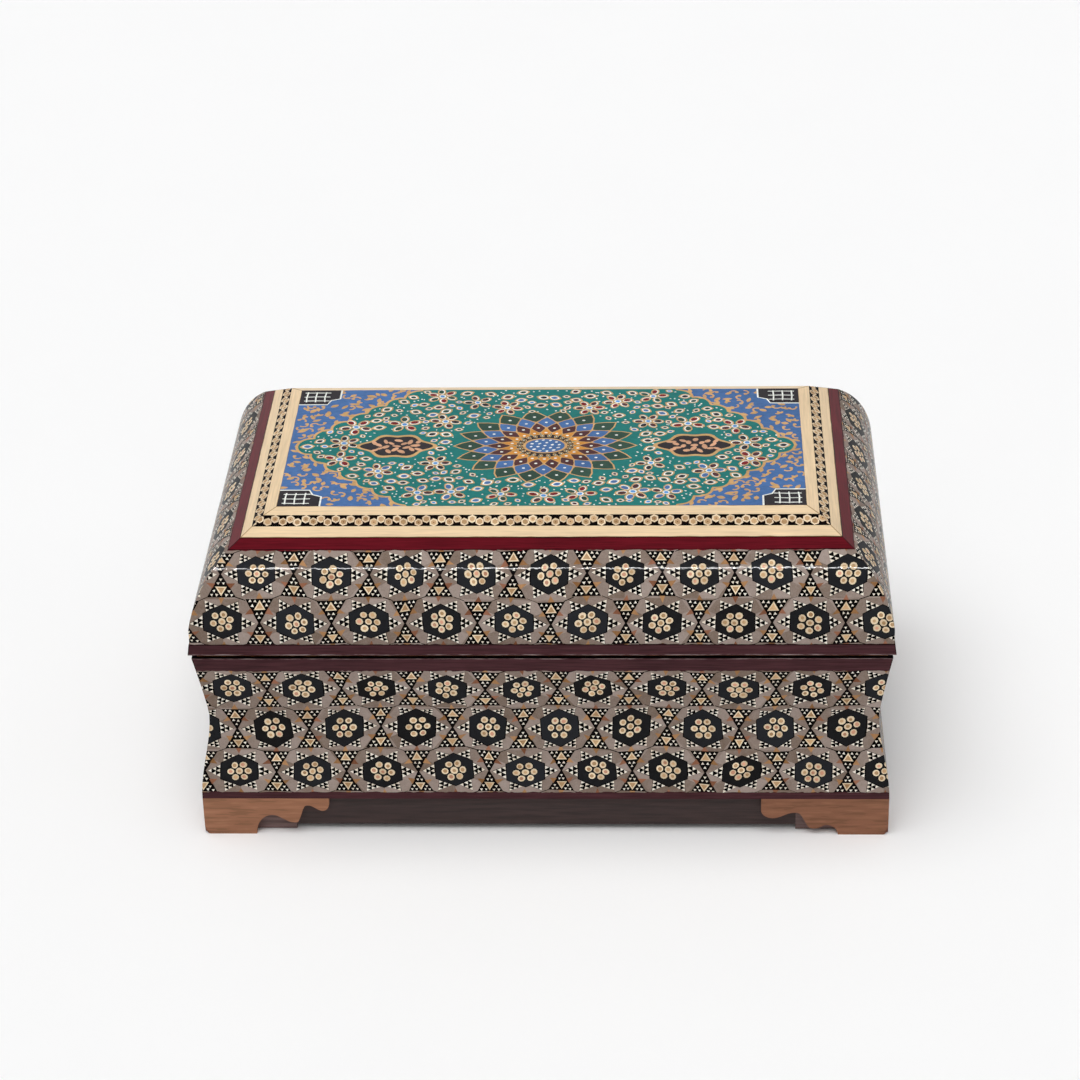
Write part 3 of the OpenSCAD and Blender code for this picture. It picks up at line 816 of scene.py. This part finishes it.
class Painting:
    """Shapes laid over each other, as (paint, points)."""

    def __init__(self, half_x, half_y, seed):
        self.half_x, self.half_y = half_x, half_y
        self.rng = random.Random(seed)
        self.shapes = []
        self.taken = []

    def put(self, paint, points):
        self.shapes.append((paint, points))

    def free(self, x, y, radius):
        return all(math.hypot(x - a, y - b) > radius + r for a, b, r in self.taken)

    def hold(self, x, y, radius):
        self.taken.append((x, y, radius))

    def eye(self, x, y, length, angle, core):
        """A leaf-shaped bud: gold outside, white ring, dark heart."""
        for paint, share in (("gold", 1.0), ("white", 0.74), (core, 0.5)):
            d = length * share
            self.put(paint, leaf_at(x - d / 2 * math.cos(angle), y - d / 2 * math.sin(angle), d, d * 0.72, angle))

    def petal(self, x, y, length, angle, core):
        c, s = math.cos(angle), math.sin(angle)
        for paint, share, side in (("gold", 1.0, 0), ("white", 0.74, 0), (core, 0.6, 0.04)):
            a = length / 2 * share
            mx, my = x + c * length / 2 - s * side * length, y + s * length / 2 + c * side * length
            self.put(paint, oval_at(mx, my, a, a * 0.66, angle, 9))

    def flower(self, x, y, radius, petals, cores, turn):
        for k in range(petals):
            angle = turn + math.tau * k / petals
            self.petal(x + radius * 0.2 * math.cos(angle), y + radius * 0.2 * math.sin(angle), radius * 0.86, angle,
                       cores[k % len(cores)])
        self.put("white", polygon_at(x, y, radius * 0.24, 8))
        self.put("sky", polygon_at(x, y, radius * 0.15, 7))


def scalloped(half_x, half_y):
    """Line of a corner field from the middle of the short edge to the long edge, in the upper right quarter."""
    points = []
    a, b = Vector((half_x - 1.5, 0)), Vector((36.5, half_y))
    for k in range(91):
        share = k / 90
        base = a.lerp(b, share)
        bow = Vector((1, 0.75)).normalized() * (math.sin(math.pi * share) * 1.2)
        lobes = abs(math.sin(math.pi * share * 7.0)) ** 0.6 * 1.9 - 1.0
        points.append(tuple(base + bow + Vector((0.66, 0.75)) * lobes))
    points[0], points[-1] = tuple(a), (b.x, half_y + 1)
    return points


def paint_panel(half_x, half_y):
    art = Painting(half_x, half_y, 41)
    rng = art.rng
    quarters = [(sx, sy) for sx in (1, -1) for sy in (1, -1)]
    edge = scalloped(half_x, half_y)
    for sx, sy in quarters:
        flip = lambda pts: [(x * sx, y * sy) for x, y in pts]
        art.put("blue", flip(edge + [(half_x + 1, half_y + 1), (half_x + 1, 0)]))
        art.put("gold", flip(stroke(edge, 0.8)))
        for k in range(6, 86, 5):
            x, y = edge[k]
            lean = 0.75 + (1.1 if k % 2 else -1.3)
            art.put("gold", flip(leaf_at(x + 0.3, y + 0.3, 2.6, 1.1, lean)))
        # gold scrolls on the blue
        local = random.Random(5 + sx + 3 * sy)
        placed = []
        tries = 0
        while tries < 2500 and len(placed) < 90:
            tries += 1
            x, y = local.uniform(30, half_x - 1), local.uniform(1.5, half_y - 1)
            limit = min(math.hypot(x - a, y - b) for a, b in edge)
            beyond = (x - edge[0][0]) * (edge[-1][1] - edge[0][1]) - (y - edge[0][1]) * (edge[-1][0] - edge[0][0])
            if limit < 1.9 or beyond < 0 or (x > half_x - 12.5 and y > half_y - 10):
                continue
            if any(math.hypot(x - a, y - b) < 2.3 for a, b in placed):
                continue
            placed.append((x, y))
            angle = local.choice((0.4, 2.2, 3.6, 5.2)) + local.gauss(0, 0.5)
            kind = local.random()
            if kind < 0.45:
                curl = [(x + 1.5 * math.cos(angle + a) * (0.5 + 0.16 * a), y + 1.5 * math.sin(angle + a) * (0.5 + 0.16 * a))
                        for a in (0, 0.6, 1.2, 1.8, 2.4, 3.0)]
                art.put("gold", flip(stroke(curl, 0.56)))
                art.put("gold", flip(polygon_at(*curl[0], 0.6, 6)))
            elif kind < 0.8:
                art.put("gold", flip(leaf_at(x, y, local.uniform(2.2, 3.4), local.uniform(1.2, 1.7), angle)))
            else:
                for k in range(3):
                    art.put("gold", flip(leaf_at(x, y, 1.6, 0.9, angle + k * 1.1)))
        # black corner with a white lattice
        w, h = 11.6, 9.0
        x0, y0 = half_x, half_y
        patch = [(x0, y0), (x0, y0 - h), (x0 - w * 0.7, y0 - h), (x0 - w * 0.78, y0 - h * 0.72),
                 (x0 - w, y0 - h * 0.6), (x0 - w, y0)]
        art.put("night", flip([(x + (0.6 if x == x0 else 0), y + (0.6 if y == y0 else 0)) for x, y in patch]))
        art.put("white", flip(stroke(patch[1:-1] + [patch[-1]], 0.5)))
        for k in range(3):
            x = x0 - 2.0 - 2.6 * k
            art.put("white", flip(stroke([(x, y0 - 1.2), (x + 0.15, y0 - h * 0.5), (x, y0 - h + 1.6)], 0.4)))
        for k in range(3):
            y = y0 - 1.7 - 2.5 * k
            art.put("white", flip(stroke([(x0 - 1.2, y), (x0 - 5, y + 0.12), (x0 - 8.6, y)], 0.4)))
    # medallion of crossing petals
    mx, my = 24.6, 20.6
    steps = 18
    radii = [0.27, 0.37, 0.52, 0.68, 0.85, 1.05]
    paints = ["orange", "maroon", "blue", "green"]

    def polar(r, a):
        return mx * r * math.cos(a), my * r * math.sin(a)

    for ring in range(4, 0, -1):
        for k in range(steps):
            mid = math.tau * (k + 0.5 * (ring % 2)) / steps
            half = math.tau / steps / 2
            corners = [polar(radii[ring - 1], mid), polar(radii[ring], mid + half), polar(radii[ring + 1], mid),
                       polar(radii[ring], mid - half)]
            gx = sum(p[0] for p in corners) / 4
            gy = sum(p[1] for p in corners) / 4
            for paint, share in (("gold", 1.0), (paints[ring - 1], 0.87)):
                loop = []
                for a, b in zip(corners, corners[1:] + corners[:1]):
                    for q in (0.0, 0.5):
                        x, y = a[0] + (b[0] - a[0]) * q, a[1] + (b[1] - a[1]) * q
                        swell = 1.0 if q == 0 else 1.13
                        loop.append((gx + (x - gx) * share * swell, gy + (y - gy) * share * swell))
                art.put(paint, loop)
            art.put("white", oval_at(gx + rng.gauss(0, 0.08), gy + rng.gauss(0, 0.08), 0.46, 0.4, 0, 7))
    art.put("gold", [polar(0.33, math.tau * k / 36) for k in range(36)])
    art.put("night", [polar(0.325, math.tau * k / 36) for k in range(36)])
    for k in range(22):
        a = math.tau * k / 22
        art.put("gold", oval_at(*polar(0.29, a), 0.95, 0.62, math.atan2(my * math.sin(a), mx * math.cos(a)), 8))
        art.put("green", oval_at(*polar(0.29, a), 0.62, 0.42, a, 7))
        art.put("white", oval_at(*polar(0.292, a), 0.26, 0.2, a, 6))
    for paint, r in (("gold", 0.235), ("blue", 0.205)):
        art.put(paint, [polar(r * (1 + 0.08 * math.cos(2 * a * math.tau / 40)), a * math.tau / 40) for a in range(40)])
    for ring, number in ((0.0, 1), (0.085, 6), (0.16, 12)):
        for k in range(number):
            a = math.tau * (k + 0.3) / number
            art.put("white", oval_at(*polar(ring, a), rng.uniform(0.45, 0.62), rng.uniform(0.3, 0.4), rng.random(), 7))
    art.hold(0, 0, 20)
    art.hold(7, 0, 18.6)
    art.hold(-7, 0, 18.6)
    # the two cartouches
    for sx in (1, -1):
        cx = sx * 41.5
        outline = []
        for k in range(48):
            a = math.tau * k / 48
            lobe = 1 + 0.09 * math.cos(6 * a)
            point = abs(math.cos(a)) ** 7 * 0.26
            outline.append((cx + 8.2 * math.cos(a) * (lobe + point), 6.4 * math.sin(a) * lobe))
        mid = [(cx + (x - cx) * 0.93, y * 0.9) for x, y in outline]
        art.put("gold", [(cx + (x - cx) * 1.04, y * 1.07) for x, y in outline])
        art.put("night", mid)
        for ring, number in ((0, 1), (2.7, 5), (4.6, 9), (6.2, 6)):
            for k in range(number):
                a = math.tau * (k + 0.25 * ring) / number
                x, y = cx + ring * 1.15 * math.cos(a), ring * 0.72 * math.sin(a)
                if ring > 6 and abs(math.sin(a)) > 0.6:
                    continue
                art.put("rose", oval_at(x, y, rng.uniform(0.95, 1.5), rng.uniform(0.55, 0.8), a + rng.gauss(0, 0.5), 8))
        art.hold(cx, 0, 8.8)
        art.hold(cx + 6, 0, 4)
        art.hold(cx - 6, 0, 4)
    # flowers, buds and dots on the teal, mirrored left to right, each copy shifted a little at random
    def on_teal(x, y, margin):
        if abs(x) > half_x - margin or abs(y) > half_y - margin:
            return False
        ax, ay = abs(x), abs(y)
        beyond = (ax - edge[0][0]) * (edge[-1][1] - edge[0][1]) - (ay - edge[0][1]) * (edge[-1][0] - edge[0][0])
        return beyond < 0 and min(math.hypot(ax - a, ay - b) for a, b in edge) > margin + 0.6

    def scatter(number, radius, margin, tries=4000):
        placed = []
        while tries and len(placed) < number:
            tries -= 1
            x, y = rng.uniform(0, half_x), rng.uniform(-half_y, half_y)
            if abs(x) < radius * 0.6:
                x = 0.0
            if on_teal(x, y, margin) and art.free(x, y, radius):
                for sx in ((1, -1) if x else (1,)):
                    placed.append((x * sx + rng.gauss(0, 0.25), y + rng.gauss(0, 0.25)))
                    art.hold(x * sx, y, radius)
        return placed

    for index, (x, y) in enumerate(scatter(26, 4.3, 3.6)):
        cores = (("red", "maroon"), ("maroon", "night"), ("red", "green"), ("blue", "maroon"))[index // 2 % 4]
        art.flower(x, y, rng.uniform(4.1, 4.9), rng.choice((5, 6)), cores, rng.random() * 3)
    for index, (x, y) in enumerate(scatter(90, 1.8, 1.7)):
        art.eye(x, y, rng.uniform(3.7, 4.6), rng.uniform(-0.7, 0.7), rng.choice(("green", "maroon", "blue", "green", "night")))
    for index, (x, y) in enumerate(scatter(110, 1.15, 1.1)):
        art.eye(x, y, rng.uniform(2.3, 3.0), rng.uniform(-1.2, 1.2), rng.choice(("blue", "maroon", "sky", "green")))
    for x, y in scatter(320, 0.6, 0.6, 7000):
        art.put("white", oval_at(x, y, rng.uniform(0.26, 0.42), rng.uniform(0.2, 0.3), rng.random() * 3, 6))
    return art.shapes


def painted_piece():
    lo, hi = (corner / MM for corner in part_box("painted_panel"))
    middle = (lo + hi) / 2
    half_x, half_y = (hi.x - lo.x) / 2, (hi.y - lo.y) / 2
    shapes = paint_panel(half_x, half_y)
    points, cells = [], []
    frame_loop = [(-half_x, -half_y), (half_x, -half_y), (half_x, half_y), (-half_x, half_y)]
    for loop in [frame_loop] + [shape[1] for shape in shapes]:
        start = len(points)
        for x, y in anticlockwise(loop):
            wob = noise.noise_vector(Vector((x, y, 3)) / 2.4) * (0.12 if start else 0.0)
            points.append(Vector((x + wob.x, y + wob.y)))
        cells.append(list(range(start, len(points))))
    flat, _, found, _, _, owners = delaunay_2d_cdt(points, [], cells, 0, 1e-4, True)
    used, verts, polygons, paints, uvs = {}, [], [], [], []
    rng = random.Random(3)
    tone = [rng.uniform(0.9, 1.1) for _ in shapes]
    size = max(half_x, half_y) * 2
    for corners, top in zip(found, top_loops(owners)):
        if top is None:
            continue
        colour = linear(PAINT["teal"]) if top == 0 else tuple(c * tone[top - 1] for c in linear(PAINT[shapes[top - 1][0]]))
        a, b, c = (flat[i] for i in corners)
        if (b - a).cross(c - a) < 0:
            corners = list(reversed(corners))
        ids = []
        for i in corners:
            if i not in used:
                used[i] = len(verts)
                verts.append(((flat[i].x + middle.x) * MM, (flat[i].y + middle.y) * MM, hi.z * MM))
            ids.append(used[i])
        polygons.append(ids)
        paints.append((*colour, 1.0))
        uvs.append([((flat[i].x + half_x) / size, (flat[i].y + half_y + 4) / (size + 4)) for i in corners])
    # closed underneath
    rim = [i for i in used if abs(abs(flat[i].x) - half_x) < 1e-3 or abs(abs(flat[i].y) - half_y) < 1e-3]
    rim.sort(key=lambda i: math.atan2(flat[i].y / half_y, flat[i].x / half_x))
    under = {}
    for i in rim:
        under[i] = len(verts)
        verts.append(((flat[i].x + middle.x) * MM, (flat[i].y + middle.y) * MM, lo.z * MM))
    for i, j in zip(rim, rim[1:] + rim[:1]):
        polygons.append([used[i], under[i], under[j], used[j]])
        paints.append((*linear(PAINT["maroon"]), 1.0))
        uvs.append([(0.01, 0.002), (0.012, 0.002), (0.012, 0.004), (0.01, 0.004)])
    polygons.append([under[i] for i in reversed(rim)])
    paints.append((*linear(PAINT["maroon"]), 1.0))
    uvs.append([(0.02 + 0.0002 * k, 0.003) for k in range(len(rim))])
    mesh = bpy.data.meshes.new("panel_painting")
    mesh.from_pydata(verts, [], polygons)
    layer = mesh.uv_layers.new(name="OFBake")
    layer.data.foreach_set("uv", [value for polygon in uvs for corner in polygon for value in corner])
    attribute = mesh.attributes.new("paint", "FLOAT_COLOR", "CORNER")
    flat_paints = [value for polygon, paint in zip(polygons, paints) for _ in polygon for value in paint]
    attribute.data.foreach_set("color", flat_paints)
    mesh.materials.append(paint_look())
    mesh.update()
    piece = bpy.data.objects.new("panel_painting", mesh)
    bpy.context.scene.collection.objects.link(piece)
    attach(piece, "lid")
    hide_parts("painted_panel")
    return piece


# ---------------------------------------------------------------- light and floor

FLOOR_LOW, FLOOR_HIGH = (0.962, 0.962, 0.964), (0.97, 0.97, 0.972)
WORLD_LIGHT = 0.3
BACKDROP = 0.975
KEY, FILL = 1.84, 0.55
STRIP_TILT = 51.0      # degrees above the horizon
STRIP_AWAY = 0.9       # metres
STRIP_POWER = 17.0


def make_light():
    world = bpy.data.worlds.new("studio")
    bpy.context.scene.world = world
    world.use_nodes = True
    tree = world.node_tree
    tree.nodes.clear()
    output = tree.nodes.new("ShaderNodeOutputWorld")
    path = tree.nodes.new("ShaderNodeLightPath")
    seen = tree.nodes.new("ShaderNodeMath")
    seen.operation = "MAXIMUM"
    both = tree.nodes.new("ShaderNodeMath")
    both.operation = "MAXIMUM"
    tree.links.new(path.outputs["Is Camera Ray"], seen.inputs[0])
    tree.links.new(path.outputs["Is Glossy Ray"], seen.inputs[1])
    tree.links.new(seen.outputs[0], both.inputs[0])
    tree.links.new(path.outputs["Is Transmission Ray"], both.inputs[1])
    light, backdrop, pick = (tree.nodes.new(kind) for kind in
                             ("ShaderNodeBackground", "ShaderNodeBackground", "ShaderNodeMixShader"))
    light.inputs["Strength"].default_value = WORLD_LIGHT
    light.inputs["Color"].default_value = (1, 1, 1, 1)
    backdrop.inputs["Strength"].default_value = BACKDROP
    backdrop.inputs["Color"].default_value = (1, 1, 1, 1)
    tree.links.new(both.outputs[0], pick.inputs[0])
    tree.links.new(light.outputs[0], pick.inputs[1])
    tree.links.new(backdrop.outputs[0], pick.inputs[2])
    tree.links.new(pick.outputs[0], output.inputs[0])

    for name, energy, spread, forward, left in (("soft_key", KEY, 58, 9, 9), ("soft_fill", FILL, 50, 45, 0)):
        sun = bpy.data.lights.new(name, "SUN")
        sun.energy, sun.angle = energy, math.radians(spread)
        lamp = bpy.data.objects.new(name, sun)
        lamp.rotation_euler = (math.radians(forward), math.radians(-left), 0)
        lamp.visible_glossy = False
        bpy.context.scene.collection.objects.link(lamp)

    area = bpy.data.lights.new("strip", "AREA")
    area.shape, area.size, area.size_y = "RECTANGLE", 0.62, 0.02
    area.energy = STRIP_POWER
    strip = bpy.data.objects.new("strip", area)
    tilt = math.radians(STRIP_TILT)
    aim = Vector((0, (MIDDLE.y - HALF_D) * MM, 0.081))
    strip.location = aim + Vector((0, -math.cos(tilt), math.sin(tilt))) * STRIP_AWAY
    strip.rotation_euler = (aim - strip.location).to_track_quat("-Z", "Y").to_euler()
    strip.visible_diffuse = False   # it only draws the thin highlights
    bpy.context.scene.collection.objects.link(strip)


def make_floor():
    mesh = bpy.data.meshes.new("floor")
    reach = 8.0
    mesh.from_pydata([(-reach, -reach, 0), (reach, -reach, 0), (reach, reach, 0), (-reach, reach, 0)], [], [(0, 1, 2, 3)])
    mesh.materials.append(floor_look())
    floor = bpy.data.objects.new("floor", mesh)
    bpy.context.scene.collection.objects.link(floor)


# ---------------------------------------------------------------- the box

make_camera()
make_light()
make_floor()
scene = bpy.context.scene
scene.view_settings.view_transform = "Standard"

for kind, (name, rgb, streak) in INLAY.items():
    INLAY_LOOKS[kind] = inlay_look(name, rgb, streak)

edges_in = {}
for strip in ("red_border", "outer_bone_border", "inlay_border", "inner_bone_border"):
    face = Face(strip, "front")
    edges_in[strip] = (HALF_D - face.points[0][0], HALF_D - face.points[-1][0])
red_in = edges_in["red_border"]

bone = strip_look("bone", (235, 208, 170), (120, 84, 50),
                  lines=[(edges_in["outer_bone_border"][0], 0.10), (edges_in["inner_bone_border"][1], 0.06)],
                  mitre_line=(150, 112, 66), grain=0.16)
red = strip_look("red_stain", (98, 16, 28), (26, 6, 8), lines=[(red_in[0], 0.12), (red_in[1], 0.16)],
                 mitre_line=(40, 8, 10), grain=0.4)
lips = [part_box("lid_rim_band")[0].z / MM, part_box("base_upper_band")[1].z / MM]
# painted highlights along both lip edges, and painted shade on the band faces that look up or down into the seam
band = strip_look("dark_red_band", (73, 43, 47), (24, 12, 12), mitre_line=(24, 12, 12), grain=0.4,
                  lip_glint_heights=(lips[0] + 0.15, lips[1] - 0.15))
core = plain_wood_look("core_wood", (196, 150, 100), (150, 104, 62))
foot = foot_look()
rail = plain_wood_look("rail_wood", (62, 44, 42), (42, 28, 26))
# the corner blocks' mauve-brown is painted shade: it stands in for the shaded floor seen through the feet's arches
block = plain_wood_look("block_wood", (118, 94, 90), (84, 64, 61))
velvet = velvet_look()
brass = brass_look()

FINISH = {"bone": bone, "core_wood": core, "foot_wood": foot, "dark_wood": rail, "velvet": velvet, "brass": brass,
          "red_band": red, "brown_band": band, "block_wood": block, "khatam": INLAY_LOOKS["ebony"], "painted_panel": core}
for part in frame["record"]["subparts"]:
    ob = NODES[part["node"]]
    look = FINISH[part["material_slot"]]
    if not ob.data.materials:
        ob.data.materials.append(look)
    for slot_ in ob.material_slots:
        slot_.material = look

# how far each row of stars is shifted along its side, from the top row down
BASE_SQUASH, LID_SQUASH = (0.83, 0.98, 0.83), (0.84, 0.84)
BASE_ROWS = {"front": (-5.7, 4.5, -5.0), "right": (2.0, -7.6, 2.6), "back": (4.0, -6.0, 4.4), "left": (-3.0, 6.6, -3.4)}
LID_ROWS = {"front": (3.0, -6.6), "right": (-4.0, 5.6), "back": (-2.0, 7.6), "left": (5.0, -4.8)}
for index, side in enumerate(SIDES):
    inlaid_piece(f"base_inlay_{side}", [Face(f"base_khatam_{side}", side)],
                 lambda face: khatam_loops(face, BASE_SQUASH, BASE_ROWS[side], 11 + index, "lip"),
                 "base", [f"base_khatam_{side}"])
    inlaid_piece(f"lid_inlay_{side}", [Face(f"lid_khatam_{side}", side)],
                 lambda face: khatam_loops(face, LID_SQUASH, LID_ROWS[side], 21 + index, "red"),
                 "lid", [f"lid_khatam_{side}"])
inlaid_piece("border_inlay", [Face("inlay_border", side) for side in SIDES],
             lambda face: chain_loops(face, int(face.half_out)), "lid", ["inlay_border"])
painted_piece()
